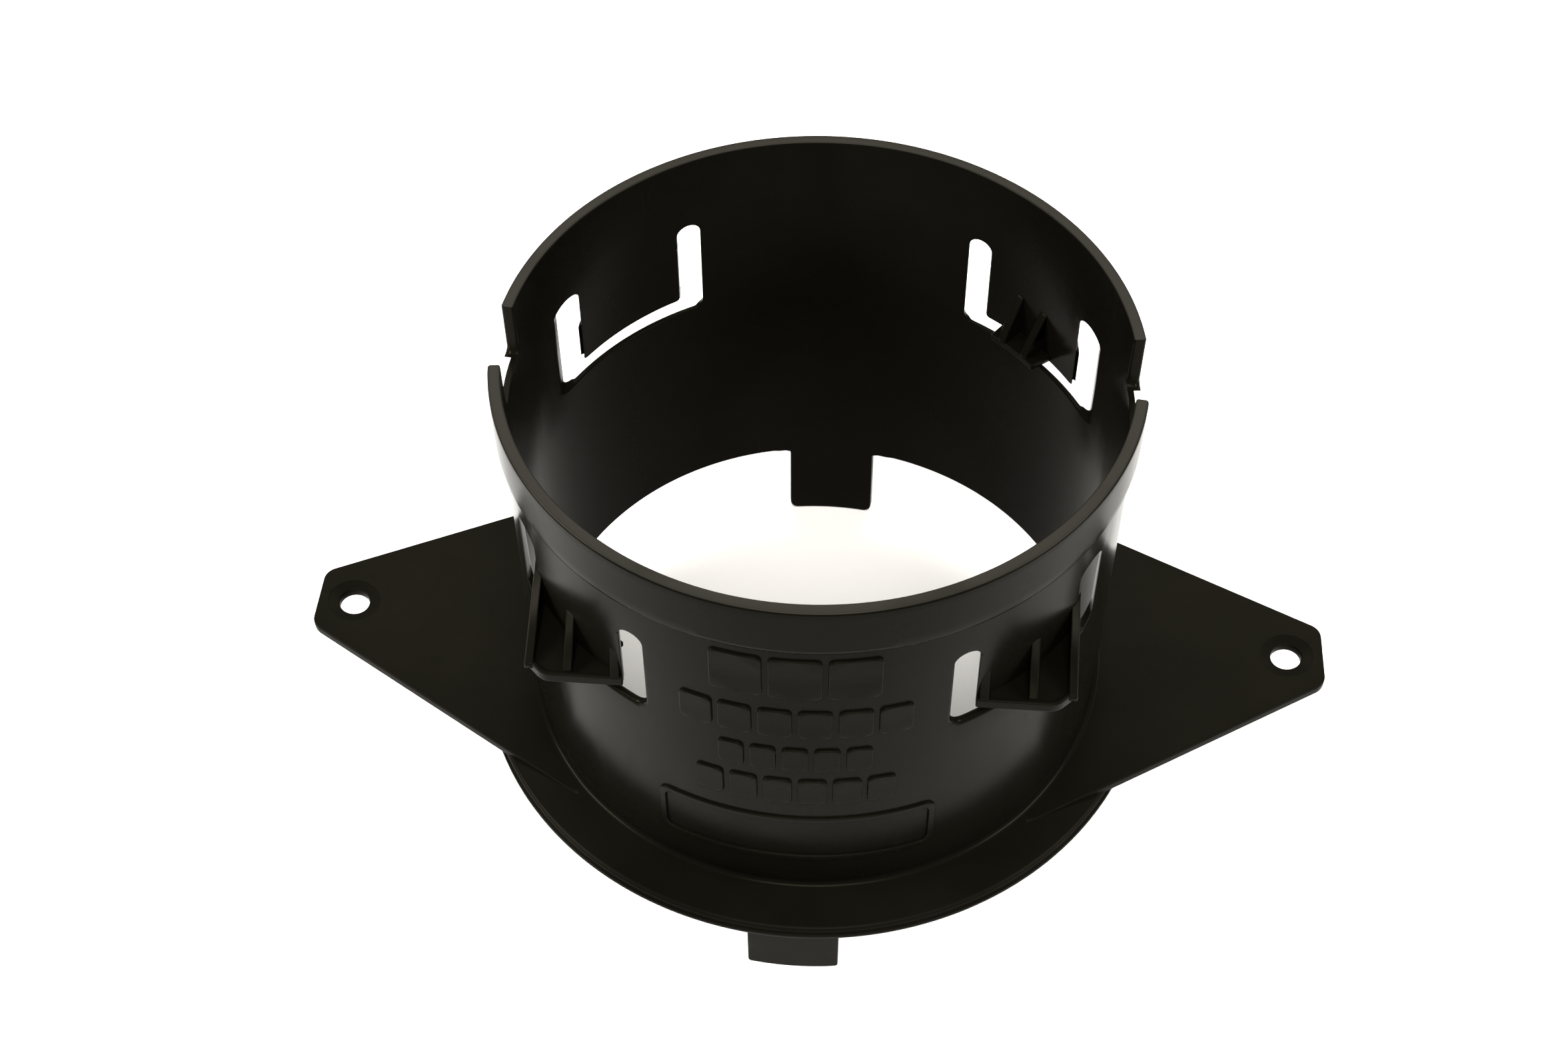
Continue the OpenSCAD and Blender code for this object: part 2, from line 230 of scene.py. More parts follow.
def filled(loops, spacing):
    """Triangles that fill the outlines, with extra points on a grid when spacing is given."""
    points = [tuple(point) for loop in loops for point in loop]
    edges, first = [], 0
    for loop in loops:
        edges += [(first + k, first + (k + 1) % len(loop)) for k in range(len(loop))]
        first += len(loop)
    if spacing:
        border = np.array(points)
        low, high = border.min(axis=0), border.max(axis=0)
        columns, rows = (max(1, round(size / step)) for size, step in zip(high - low, spacing))
        grid = np.array([
            (low[0] + (high[0] - low[0]) * i / columns, low[1] + (high[1] - low[1]) * j / rows)
            for i in range(1, columns) for j in range(1, rows)
        ]).reshape(-1, 2)
        grid = grid[inside(grid, loops)]
        clear = [np.hypot(*(border - spot).T).min() > 0.5 * spacing[0] for spot in grid]
        points += [tuple(spot) for spot in grid[np.array(clear, bool)]]
    made = delaunay_2d_cdt([Vector(point) for point in points], edges, [], 0, TINY, False)
    corners = np.array([tuple(vertex) for vertex in made[0]])
    faces = [tuple(face) for face in made[2]]
    middles = np.array([corners[list(face)].mean(axis=0) for face in faces])
    return corners, [face for face, kept in zip(faces, inside(middles, loops)) if kept]


def clean(mesh):
    """Joins what meets, drops flat faces and turns every face outwards."""
    bmesh.ops.remove_doubles(mesh, verts=mesh.verts, dist=SAME_POINT)
    bmesh.ops.dissolve_degenerate(mesh, edges=mesh.edges, dist=SAME_POINT)
    bmesh.ops.recalc_face_normals(mesh, faces=mesh.faces)


def add_plate(mesh, loops, place, depth, rim, spacing=None, is_open=None):
    """Adds a plate with rounded edges to mesh, drawn flat and bent into place.

    loops[0] is the outline and the others are holes, as (u, v) points. place(u, v, d) puts the
    point that lies d below the upper face, and depth(u, v) is the thickness there. rim(u, v)
    gives the rounding radii of the upper and lower edges. is_open(a, b) is true for a side of
    the outline that gets no wall, because it meets another side of the same plate.
    """
    loops = [wound(loop, index == 0) for index, loop in enumerate(loops)]
    upper_loops, lower_loops = [], []
    for loop in loops:
        insets = inset_corners(loop)
        rings = []
        for lower in (False, True):
            for step in range(ROUND_STEPS + 1):
                turn = math.pi / 2 * step / ROUND_STEPS
                ring = []
                for (u, v), inset in zip(loop, insets):
                    radius = rim(u, v)[1 if lower else 0]
                    by_cos = radius * (1 - math.cos(turn))
                    by_sin = radius * (1 - math.sin(turn))
                    move, d = (by_cos, depth(u, v) - by_sin) if lower else (by_sin, by_cos)
                    ring.append((u + inset.x * move, v + inset.y * move, d))
                rings.append(ring)
        upper_loops.append([(u, v) for u, v, _ in rings[0]])
        lower_loops.append([(u, v) for u, v, _ in rings[-1]])
        rows = [[mesh.verts.new(place(u, v, d)) for u, v, d in ring] for ring in rings]
        for row, deeper in zip(rows, rows[1:]):
            for k in range(len(loop)):
                after = (k + 1) % len(loop)
                if is_open and is_open(loop[k], loop[after]):
                    continue
                mesh.faces.new((row[k], deeper[k], deeper[after], row[after]))
    for face_loops, deep in ((upper_loops, False), (lower_loops, True)):
        corners, faces = filled(face_loops, spacing)
        verts = [mesh.verts.new(place(u, v, depth(u, v) if deep else 0)) for u, v in corners]
        for face in faces:
            ordered = face[::-1] if deep else face
            mesh.faces.new([verts[index] for index in ordered])


def add_turned(mesh, profile, steps, base=None):
    """Adds a closed ring turned from an (r, z) outline. base(angle, r) is the height of z = 0."""
    rows = []
    for step in range(steps):
        angle = 2 * math.pi * step / steps
        row = []
        for radius, z in profile:
            height = z + (base(angle, radius) if base else 0)
            spot = (radius * math.cos(angle), radius * math.sin(angle), height)
            row.append(mesh.verts.new(spot))
        rows.append(row)
    count = len(profile)
    for row, following in zip(rows, rows[1:] + rows[:1]):
        for k in range(count):
            after = (k + 1) % count
            mesh.faces.new((row[k], following[k], following[after], row[after]))


def piece(name, build, material, body, *nodes):
    """Makes an object from build(mesh), which draws in mm, and lets it stand for CAD nodes."""
    mesh = bmesh.new()
    build(mesh)
    clean(mesh)
    sharp = math.radians(SHARP_DEGREES)
    for edge in mesh.edges:
        edge.smooth = len(edge.link_faces) != 2 or edge.calc_face_angle(0) < sharp
    bmesh.ops.scale(mesh, vec=(MM, MM, MM), verts=mesh.verts)
    data = bpy.data.meshes.new(name)
    mesh.to_mesh(data)
    mesh.free()
    data.shade_smooth()
    data.materials.append(material)
    obj = bpy.data.objects.new(name, data)
    bpy.context.scene.collection.objects.link(obj)
    weighted = obj.modifiers.new("even_shading", "WEIGHTED_NORMAL")
    weighted.keep_sharp = True
    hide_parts(*nodes)
    if body:
        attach(obj, body)
    return obj


# ---------------------------------------------------------------- materials

FINE_SKIN = 0.006 * MM
COARSE_SKIN = 0.009 * MM
HIGHLIGHT_FADE = 0.1 * MM  # height over which the painted highlight on the collar's top fades in
UPRIGHT = (1, 1, 0.15)  # stretch of the flow lines
LEVEL = (0.3, 1, 1)
EVEN = (1, 1, 1)


def moulded_plastic(name, roughness, texture_depth, streaks, highlight_above=None):
    """Black moulded plastic: a fine skin texture, faint flow lines, and uneven gloss.

    Above the given height the face is paler: a painted highlight, the room's pale reflection in the flat
    top.
    """
    material = bpy.data.materials.new(name)
    material.use_nodes = True
    nodes, links = material.node_tree.nodes, material.node_tree.links
    shader = nodes["Principled BSDF"]
    shader.inputs["IOR"].default_value = 1.5
    shader.inputs["Specular IOR Level"].default_value = 0.016
    shader.inputs["Specular Tint"].default_value = (1, 0.9, 0.65, 1)

    where = nodes.new("ShaderNodeTexCoord")

    def noise(scale, detail, stretch=EVEN):
        mapping = nodes.new("ShaderNodeMapping")
        mapping.inputs["Scale"].default_value = stretch
        texture = nodes.new("ShaderNodeTexNoise")
        texture.inputs["Scale"].default_value = scale
        texture.inputs["Detail"].default_value = detail
        links.new(where.outputs["Object"], mapping.inputs["Vector"])
        links.new(mapping.outputs["Vector"], texture.inputs["Vector"])
        return texture.outputs["Fac"]

    def ranged(source, from_low, from_high, to_low, to_high):
        change = nodes.new("ShaderNodeMapRange")
        change.inputs["From Min"].default_value = from_low
        change.inputs["From Max"].default_value = from_high
        change.inputs["To Min"].default_value = to_low
        change.inputs["To Max"].default_value = to_high
        links.new(source, change.inputs["Value"])
        return change.outputs["Result"]

    def mixed(operation, first, second):
        node = nodes.new("ShaderNodeMath")
        node.operation = operation
        links.new(first, node.inputs[0])
        if isinstance(second, float):
            node.inputs[1].default_value = second
        else:
            links.new(second, node.inputs[1])
        return node.outputs["Value"]

    # Colour: near black with a slightly warm, paler bloom in broad soft patches.
    bloom = nodes.new("ShaderNodeValToRGB")
    bloom.color_ramp.elements[0].position = 0.35
    bloom.color_ramp.elements[0].color = (0.0020, 0.0018, 0.0012, 1)
    bloom.color_ramp.elements[1].position = 0.75
    bloom.color_ramp.elements[1].color = (0.0032, 0.0029, 0.0020, 1)
    bloom.color_ramp.elements.new(1.0).color = (0.014, 0.013, 0.0112, 1)
    shade = noise(38, 4)
    # Painted highlight: above that height the colour is pushed towards the palest end of the ramp.
    if highlight_above:
        split = nodes.new("ShaderNodeSeparateXYZ")
        links.new(where.outputs["Object"], split.inputs["Vector"])
        painted_highlight = ranged(split.outputs["Z"], highlight_above - HIGHLIGHT_FADE, highlight_above, 0, 0.6)
        shade = mixed("ADD", shade, painted_highlight)
    links.new(shade, bloom.inputs["Fac"])
    links.new(bloom.outputs["Color"], shader.inputs["Base Color"])

    # Gloss: patches from the mould's polish, and small dull scuffs.
    patches = ranged(noise(55, 3, (1, 1, 0.45)), 0.3, 0.7, roughness - 0.04, roughness + 0.05)
    scuffs = ranged(noise(420, 5, (1, 1, 0.2)), 0.6, 0.75, 0.0, 0.05)
    links.new(mixed("ADD", patches, scuffs), shader.inputs["Roughness"])

    # Relief: skin texture of the mould, and the flow lines of the plastic.
    skin = noise(1900, 2)
    flow = mixed("MULTIPLY", noise(95, 3, streaks), 2.0)
    relief = nodes.new("ShaderNodeBump")
    relief.inputs["Strength"].default_value = 1.0
    relief.inputs["Distance"].default_value = texture_depth
    links.new(mixed("ADD", skin, flow), relief.inputs["Height"])
    links.new(relief.outputs["Normal"], shader.inputs["Normal"])
    return material


TOP_HIGHLIGHT_Z = (Z_TOP - 0.08) * MM  # only the flat top of the collar is above this; it gets a painted highlight
BARREL_PLASTIC = moulded_plastic("black_plastic_glossy", 0.21, FINE_SKIN, UPRIGHT)
PLATE_PLASTIC = moulded_plastic("black_plastic_satin", 0.36, COARSE_SKIN, LEVEL)
COLLAR_PLASTIC = moulded_plastic("black_plastic_collar", 0.24, FINE_SKIN, UPRIGHT, TOP_HIGHLIGHT_Z)
HOOK_PLASTIC = moulded_plastic("black_plastic_hooks", 0.30, FINE_SKIN, EVEN)


# ---------------------------------------------------------------- barrel wall

CUTS_START = (12, 20)  # degrees from the X axis over which the cuts along Y fade in
CUTS_END = (66, 76)  # and out again
WALL_ROUND = (0.3, 0.25)  # rounding of the outer and inner edges of the wall
BORE_EDGE = 0.3  # rounding of the lower edge of the bore
CLEAR_OF_TAB = 11  # distance along the wall from the middle of the rear tab to plain wall


def on_wall(u, v, d):
    """A point of the barrel wall: u is the arc at the outside, v the height, d the depth."""
    angle = u / R_WALL
    radius = R_WALL - d
    # The slots and fingers are cut along Y, so near them a deeper point keeps its X.
    from_x = math.atan2(abs(math.sin(angle)), abs(math.cos(angle)))
    same_x = math.acos(min(1.0, R_WALL * math.cos(from_x) / radius))
    degrees = math.degrees(from_x)
    share = smooth(*CUTS_START, degrees) * (1 - smooth(*CUTS_END, degrees))
    turned = from_x + (same_x - from_x) * share
    x = math.copysign(radius * math.cos(turned), math.cos(angle))
    y = math.copysign(radius * math.sin(turned), math.sin(angle))
    return x, y, v


def wall_depth(u, v):
    """Thickness of the wall at height v."""
    return R_WALL - bore(v)


def arc_of(x, latch):
    """Arc position, at the outside of the wall, of the given distance from the YZ plane."""
    side, front = LATCHES[latch]
    from_x = math.acos(x / R_WALL)
    if front > 0:
        return R_WALL * (2 * math.pi - from_x if side > 0 else math.pi + from_x)
    return R_WALL * (from_x if side > 0 else math.pi - from_x)


def slot_outline(latch):
    """Outline of the slots round a finger, with the finger's own space."""
    inner, outer = (FINGER_X0 - SLOT_X0) / 2, (SLOT_X1 - FINGER_X1) / 2
    top = Z_FLEX + (SLOT_ABOVE_FRONT if LATCHES[latch][1] > 0 else SLOT_ABOVE_REAR)
    outline = (
        arc((SLOT_X0 + SLOT_CORNER, SLOT_Z0 + SLOT_CORNER), SLOT_CORNER, 180, 270)
        + arc((SLOT_X1 - SLOT_CORNER, SLOT_Z0 + SLOT_CORNER), SLOT_CORNER, 270, 360)
        + arc((SLOT_X1 - outer, top - outer), outer, 0, 180, 10)
        + [(FINGER_X1, Z_FLEX + SEAM_SIDE), (FINGER_X1, Z_FLEX)]
        + [(FINGER_X0, Z_FLEX), (FINGER_X0, Z_FLEX + SEAM_SIDE)]
        + arc((SLOT_X0 + inner, top - inner), inner, 0, 180, 10)
    )
    return divided([(arc_of(x, latch), z + lift(latch)) for x, z in outline], COLUMN)


def from_tab(u):
    """Distance along the wall from the middle of the rear tab."""
    return abs(u - R_WALL * math.pi / 2)


def from_either(v, level):
    """Distance from that height on a front latch, or from the same place on a rear one."""
    return min(abs(v - level), abs(v - level - REAR_LIFT))


def build_barrel(mesh):
    """The wall, unrolled from the X axis all the way round, with the slots cut out."""
    round_wall = 2 * math.pi * R_WALL
    columns = round(round_wall / COLUMN)
    bottom = [(round_wall * k / columns, Z_RING) for k in range(columns + 1)]
    top = [(round_wall * k / columns, Z_COLLAR) for k in range(columns, -1, -1)]
    rows = round((Z_COLLAR - Z_RING) / ROW)
    right = [(round_wall, Z_RING + (Z_COLLAR - Z_RING) * k / rows) for k in range(1, rows)]
    left = [(0.0, z) for _, z in reversed(right)]

    def rim(u, v):
        if v > Z_COLLAR - NEAR or from_either(v, Z_FLEX) < NEAR or min(u, round_wall - u) < NEAR:
            return 0, 0
        if v < Z_RING + NEAR:
            return 0, BORE_EDGE if from_tab(u) > CLEAR_OF_TAB else 0
        if from_either(v, SLOT_Z0) < SILL_BAND:
            return SILL, WALL_ROUND[1]
        return WALL_ROUND

    def is_seam(a, b):
        return abs(a[0] - b[0]) < TINY and min(a[0], round_wall - a[0]) < TINY

    outlines = [bottom + right + top + left] + [slot_outline(latch) for latch in LATCHES]
    add_plate(mesh, outlines, on_wall, wall_depth, rim, (COLUMN, ROW), is_seam)


piece("barrel_shell", build_barrel, BARREL_PLASTIC, "root", "barrel")


# ---------------------------------------------------------------- collar

SHOULDER = 1.05  # rounding of the collar's lower edge
COLLAR_ROUND = 0.45  # and of its upper edge
COLLAR_INNER_ROUND = 0.35


def build_collar(front):
    """One half of the collar, between the two side notches."""
    def build(mesh):
        half = R_COLLAR * math.asin(NOTCH_HALF / R_COLLAR)
        start = R_COLLAR * (math.pi if front else 0) + half
        end = start + R_COLLAR * math.pi - 2 * half
        corner_z = Z_COLLAR + NOTCH_CORNER
        outline = (
            [(start - NOTCH_CORNER, Z_COLLAR), (end + NOTCH_CORNER, Z_COLLAR)]
            + arc((end + NOTCH_CORNER, corner_z), NOTCH_CORNER, 180 + FILLET_SWEEP, 180)
            + [(end, Z_TOP), (start, Z_TOP)]
            + arc((start - NOTCH_CORNER, corner_z), NOTCH_CORNER, 0, -FILLET_SWEEP)
        )

        def rim(u, v):
            up = smooth(0.1, NOTCH_CORNER, v - Z_COLLAR)
            # The thin feet of the notch fillets stay almost sharp.
            if up == 0 and not start < u < end:
                return 0.02, 0
            return SHOULDER + (COLLAR_ROUND - SHOULDER) * up, COLLAR_INNER_ROUND * up

        def place(u, v, d):
            angle, radius = u / R_COLLAR, R_COLLAR - d
            return radius * math.cos(angle), radius * math.sin(angle), v

        def depth(u, v):
            return R_COLLAR - bore(v)

        add_plate(mesh, [divided(outline, COLUMN)], place, depth, rim, (COLUMN, COLLAR_ROW))

    return build


piece("front_collar", build_collar(True), COLLAR_PLASTIC, "root", "collar_front")
piece("rear_collar", build_collar(False), COLLAR_PLASTIC, "root", "collar_rear")


# ---------------------------------------------------------------- base ring and ears

EAR_START = 37.5  # distance from the axis where the top of an ear leaves the ring
EAR_TILT = math.radians(5.4)
EAR_T = 1.9
EAR_TIP = span("right_ear")[1][0]
EAR_TIP_HALF = 5.9  # half the width of an ear at its tip
EAR_FLARE = 0.572  # how much that half grows with each mm towards the barrel
EAR_CORNER = 3.0
EAR_ROUND = (0.35, 0.3)
HOLE_X = 82.0
HOLE_R = 2.6
HOLE_ROUND = (0.25, 0.15)
DISH_R = 4.5
DISH_DEPTH = 0.35
DISH_EDGE = 0.04  # rounding and step round the dish
RING_EDGE = 0.8
LIP_EDGE = 0.2
RING_STEPS = 288
HOLE_STEPS = 48


def ear_top(x):
    """Height of the top of an ear at distance x from the axis."""
    return Z_RING_TOP + (x - EAR_START) * math.tan(EAR_TILT)


def build_ring(mesh):
    """The base ring with the low lip round its lower edge."""
    profile = (
        [(R_WALL, Z_RING)]
        + arc((R_LIP - LIP_EDGE, Z_RING + LIP_EDGE), LIP_EDGE, -90, 0, 3)
        + arc((R_LIP - LIP_EDGE, Z_LIP - LIP_EDGE), LIP_EDGE, 0, 90, 3)
        + [(R_RING + 0.1, Z_LIP), (R_RING, Z_LIP + 0.1)]
        + arc((R_RING - RING_EDGE, Z_RING_TOP - RING_EDGE), RING_EDGE, 0, 90, 5)
        + [(R_WALL, Z_RING_TOP)]
    )
    add_turned(mesh, profile, RING_STEPS)


def build_root_fillet(mesh):
    """The fillet in the corner between the wall and the ring, which climbs over the ears."""
    sunk = 0.4
    profile = (
        [(R_WALL - sunk, -sunk), (R_WALL + BEAD, -sunk)]
        + arc((R_WALL + BEAD, BEAD), BEAD, 270, 180, 6)
        + [(R_WALL - sunk, BEAD)]
    )

    def floor_height(angle, radius):
        return max(Z_RING_TOP, ear_top(radius * abs(math.cos(angle))))

    add_turned(mesh, profile, RING_STEPS, floor_height)


def from_hole(u, v):
    """Distance from the middle of an ear's screw hole."""
    return math.hypot(u - HOLE_X, v)


def build_ear(side):
    """An ear on the side +1 or -1: the sloping plate, and the dished disc round its hole."""
    thick = EAR_T / math.cos(EAR_TILT)

    def place(u, v, d):
        return side * u, side * v, ear_top(u) - d

    def add_slope(mesh):
        inner_r, inner_x = R_WALL - 0.3, EAR_START - 0.5
        root_half = EAR_TIP_HALF + (EAR_TIP - inner_x) * EAR_FLARE
        corners = [(inner_x, -root_half), (EAR_TIP, -EAR_TIP_HALF)]
        corners += [(EAR_TIP, EAR_TIP_HALF), (inner_x, root_half)]
        spread = math.degrees(math.acos(inner_x / inner_r))
        outline = round_corners(corners, [0, EAR_CORNER, EAR_CORNER, 0], 8)
        outline += arc((0, 0), inner_r, spread, -spread, 40)
        hole = arc((HOLE_X, 0), DISH_R, 0, 360, HOLE_STEPS)[:-1]

        def rim(u, v):
            if math.hypot(u, v) < R_WALL + 0.2 or u < EAR_START:
                return 0, 0
            return (DISH_EDGE, 0) if from_hole(u, v) < DISH_R + 0.1 else EAR_ROUND

        add_plate(mesh, [divided(outline, 3), hole], place, lambda u, v: thick, rim)

    def add_dish(mesh):
        def sunk(u, v):
            share = 1 - smooth(HOLE_R + 0.4, DISH_R, from_hole(u, v))
            return DISH_EDGE + (DISH_DEPTH - DISH_EDGE) * share

        def on_dish(u, v, d):
            return place(u, v, d + sunk(u, v))

        def depth(u, v):
            return thick - sunk(u, v)

        def rim(u, v):
            return HOLE_ROUND if from_hole(u, v) < DISH_R - 0.5 else (0, 0)

        edges = [arc((HOLE_X, 0), radius, 0, 360, HOLE_STEPS)[:-1] for radius in (DISH_R, HOLE_R)]
        add_plate(mesh, edges, on_dish, depth, rim)

    def build(mesh):
        add_slope(mesh)
        add_dish(mesh)

    return build


piece("ring_plate", build_ring, PLATE_PLASTIC, "root", "base_ring", "ring_lip")
piece("root_fillet", build_root_fillet, BARREL_PLASTIC, "root", "ring_bead")
piece("right_screw_ear", build_ear(1), PLATE_PLASTIC, "root", "right_ear")
piece("left_screw_ear", build_ear(-1), PLATE_PLASTIC, "root", "left_ear")


# ---------------------------------------------------------------- hanging tabs

ROOT_FILLET = 1.2
TAB_ROUND = (0.3, 0.3)
FRONT_TAB_T = 2


def build_tab(node, front, outer_r, inner_r, corner, sunk):
    """A curved tab that hangs from the ring; sunk is how far its root goes into the ring."""
    def build(mesh):
        half = span(node)[1][0] - ROOT_FILLET
        low = span(node)[0][2]
        wide, start = half + ROOT_FILLET, Z_RING - ROOT_FILLET
        outline = (
            arc((-half + corner, low + corner), corner, 180, 270)
            + arc((half - corner, low + corner), corner, 270, 360)
            + arc((wide, start), ROOT_FILLET, 180, 180 - FILLET_SWEEP)
            + [(wide, Z_RING + sunk), (-wide, Z_RING + sunk)]
            + arc((-wide, start), ROOT_FILLET, FILLET_SWEEP, 0)
        )

        def place(u, v, d):
            angle = math.asin(max(-1.0, min(1.0, u / outer_r)))
            radius = outer_r - d
            return radius * math.sin(angle), (-radius if front else radius) * math.cos(angle), v

        def rim(u, v):
            return TAB_ROUND if v < Z_RING - 0.3 else (0, 0)

        def depth(u, v):
            return outer_r - inner_r

        add_plate(mesh, [divided(outline, COLUMN)], place, depth, rim, (COLUMN, ROW))

    return build


front_tab_r = -span("front_tab")[0][1]
build_front_tab = build_tab("front_tab", True, front_tab_r, front_tab_r - FRONT_TAB_T, 0.6, 0.5)
build_rear_tab = build_tab("rear_tab", False, R_WALL, BORE_BOTTOM, 1.6, 0)
piece("front_hanging_tab", build_front_tab, PLATE_PLASTIC, "root", "front_tab")
piece("rear_hanging_tab", build_rear_tab, BARREL_PLASTIC, "root", "rear_tab")


# ---------------------------------------------------------------- latches

RIBS = ("inner_rib", "middle_rib", "outer_rib")
shelf_low, shelf_high = span("front_right_shelf")
HOOK_X, HOOK_Y = shelf_high[0], -shelf_low[1]
HOOK_CUT = 3.0  # the corner of the hook is cut off this far along both sides
HOOK_ROUND = 3.0  # and the two edges of that cut are rounded
SHELF_T = 1.3
SHELF_LIP = 0.8  # thickness of the lip round the shelf
SHELF_BACK = 0.3  # how far inside the lip's outer face the shelf's plate ends
SHELF_ROUND = (0.2, 0.3)
RIB_ROUND = (0.25, 0.25)
RIB_FOOT = 0.3  # how far a rib reaches into its shelf
FINGER_ROUND = (0.28, 0.25)
Z_SHELF = FINGER_Z0 + SHELF_T
Z_LIP_TOP = shelf_high[2]
GRIP_REACH = 3.9  # how far an inward hook reaches into the bore
GRIP_HALF_DEGREES = 6.4
GRIP_RIB_DEGREES = 3.3
GRIP_RIB_T = 1.6
GRIP_MIDDLE = -45  # direction of a latch's middle, before it is moved to its quarter
GRIP_TOP = span("front_left_grip_ribs")[1][2]
SUNK = 0.6  # how far ribs and shelves reach into the finger


def mirrored(latch, place):
    """place, drawn for the front right latch, moved to the latch's own quarter."""
    side, front = LATCHES[latch]

    def moved(u, v, d):
        x, y, z = place(u, v, d)
        return side * x, front * y, z + lift(latch)

    return moved


def build_finger(latch):
    """The springy strip of wall that carries a latch's hooks."""
    def build(mesh):
        corner = 0.6
        outline = (
            [(FINGER_X1, Z_FLEX - SEAM_SIDE), (FINGER_X1, Z_FLEX)]
            + [(FINGER_X0, Z_FLEX), (FINGER_X0, Z_FLEX - SEAM_SIDE)]
            + arc((FINGER_X0 + corner, FINGER_Z0 + corner), corner, 180, 270)
            + arc((FINGER_X1 - corner, FINGER_Z0 + corner), corner, 270, 360)
        )
        loop = divided([(arc_of(x, latch), z + lift(latch)) for x, z in outline], COLUMN)

        def rim(u, v):
            return (0, 0) if v > Z_FLEX + lift(latch) - NEAR else FINGER_ROUND

        add_plate(mesh, [loop], on_wall, wall_depth, rim, (COLUMN, COLUMN))

    return build


def wall_y(x, radius):
    """How far the circle of that radius is from the XZ plane at x."""
    return math.sqrt(radius**2 - x**2)


def build_shelf(latch):
    """The shelf of an outward hook: a plate, and a raised lip along its two free sides."""
    def on_shelf(top):
        return mirrored(latch, lambda u, v, d: (u, -v, top - d))

    def add_shelf_plate(mesh):
        steps = 12
        along = [FINGER_X0 + (FINGER_X1 - FINGER_X0) * k / steps for k in range(steps + 1)]
        root = [(x, wall_y(x, R_WALL - SUNK)) for x in along]
        x, y = HOOK_X - SHELF_BACK, HOOK_Y - SHELF_BACK
        corners = [(x, wall_y(x, R_WALL)), (x, y - HOOK_CUT), (x - HOOK_CUT, y), (FINGER_X0, y)]
        outline = round_corners(corners, [0, HOOK_ROUND, HOOK_ROUND, 0.3]) + root

        def rim(u, v):
            return SHELF_ROUND if math.hypot(u, v) > R_WALL + 0.2 else (0, 0)

        add_plate(mesh, [outline], on_shelf(Z_SHELF), lambda u, v: SHELF_T - 0.05, rim)

    def add_lip(mesh):
        x, y = HOOK_X - SHELF_LIP, HOOK_Y - SHELF_LIP
        cut = HOOK_CUT - SHELF_LIP * (2 - math.sqrt(2))
        root_y = wall_y(HOOK_X, R_WALL)
        outer = [(HOOK_X, root_y), (HOOK_X, HOOK_Y - HOOK_CUT), (HOOK_X - HOOK_CUT, HOOK_Y)]
        ends = [(FINGER_X0, HOOK_Y), (FINGER_X0, y)]
        inner = [(x - cut, y), (x, y - cut), (x, root_y + 0.4)]
        bend = HOOK_ROUND - SHELF_LIP
        radii = [0, HOOK_ROUND, HOOK_ROUND, 0.3, 0, bend, bend, 0]
        lip = round_corners(outer + ends + inner, radii)
        tall = Z_LIP_TOP - FINGER_Z0
        add_plate(mesh, [lip], on_shelf(Z_LIP_TOP), lambda u, v: tall, lambda u, v: RIB_ROUND)

    def build(mesh):
        add_shelf_plate(mesh)
        add_lip(mesh)

    return build


def build_rib(latch, rib):
    """One of the three upright ribs on an outward hook."""
    def build(mesh):
        low, high = span("front_right_" + rib)
        x0, x1, top = low[0], high[0], high[2]
        front = -low[1]
        near, far = wall_y(x1, R_WALL - SUNK), wall_y(x1, R_WALL)
        foot = Z_SHELF - RIB_FOOT
        corners = [(near, foot), (front, foot), (front, Z_LIP_TOP), (far, top), (near, top)]
        outline = round_corners(corners, [0, 0, 0.4, 0.7, 0])

        def rim(u, v):
            return RIB_ROUND if v > Z_SHELF and u > near + 0.1 else (0, 0)

        # The root follows the wall from one side of the rib to the other.
        def place(u, v, d):
            share = smooth(0, 1, (front - u) / (front - near))
            x = x1 - d
            return x, -(u + (wall_y(x, R_WALL) - far) * share), v

        add_plate(mesh, [divided(outline, 1.5)], mirrored(latch, place), lambda u, v: x1 - x0, rim)

    return build


def radial(latch, angle_degrees):
    """Places (radius, height, side step) on the line at that angle from the latch's middle."""
    angle = math.radians(GRIP_MIDDLE + angle_degrees)
    x, y = math.cos(angle), math.sin(angle)
    return mirrored(latch, lambda u, v, d: (u * x - d * y, u * y + d * x, v))


def build_grip_shelf(latch):
    """The shelf of an inward hook."""
    def build(mesh):
        inner_r, outer_r = bore(FINGER_Z0) - GRIP_REACH, bore(FINGER_Z0) + SUNK
        start, end = GRIP_MIDDLE - GRIP_HALF_DEGREES, GRIP_MIDDLE + GRIP_HALF_DEGREES
        outline = arc((0, 0), inner_r, start, end, 8) + arc((0, 0), outer_r, end, start, 8)

        def rim(u, v):
            return SHELF_ROUND if math.hypot(u, v) < outer_r - 0.1 else (0, 0)

        place = mirrored(latch, lambda u, v, d: (u, v, Z_SHELF - d))
        add_plate(mesh, [outline], place, lambda u, v: SHELF_T, rim)

    return build


def build_grip_ribs(latch):
    """The pair of upright ribs on an inward hook."""
    def build(mesh):
        inner_r, wall_r = bore(FINGER_Z0) - GRIP_REACH, bore(GRIP_TOP)
        foot, root_r = Z_SHELF - RIB_FOOT, wall_r + SUNK
        corners = [(inner_r, foot), (root_r, foot), (root_r, GRIP_TOP)]
        corners += [(wall_r, GRIP_TOP), (inner_r, Z_LIP_TOP)]
        outline = divided(round_corners(corners, [0, 0, 0, 0.8, 0.5]), 1.5)

        def rim(u, v):
            return RIB_ROUND if v > Z_SHELF and u < wall_r + 0.3 else (0, 0)

        for side in (-1, 1):
            on_line = radial(latch, side * GRIP_RIB_DEGREES)

            def place(u, v, d):
                return on_line(u, v, d - GRIP_RIB_T / 2)

            add_plate(mesh, [outline], place, lambda u, v: GRIP_RIB_T, rim)

    return build


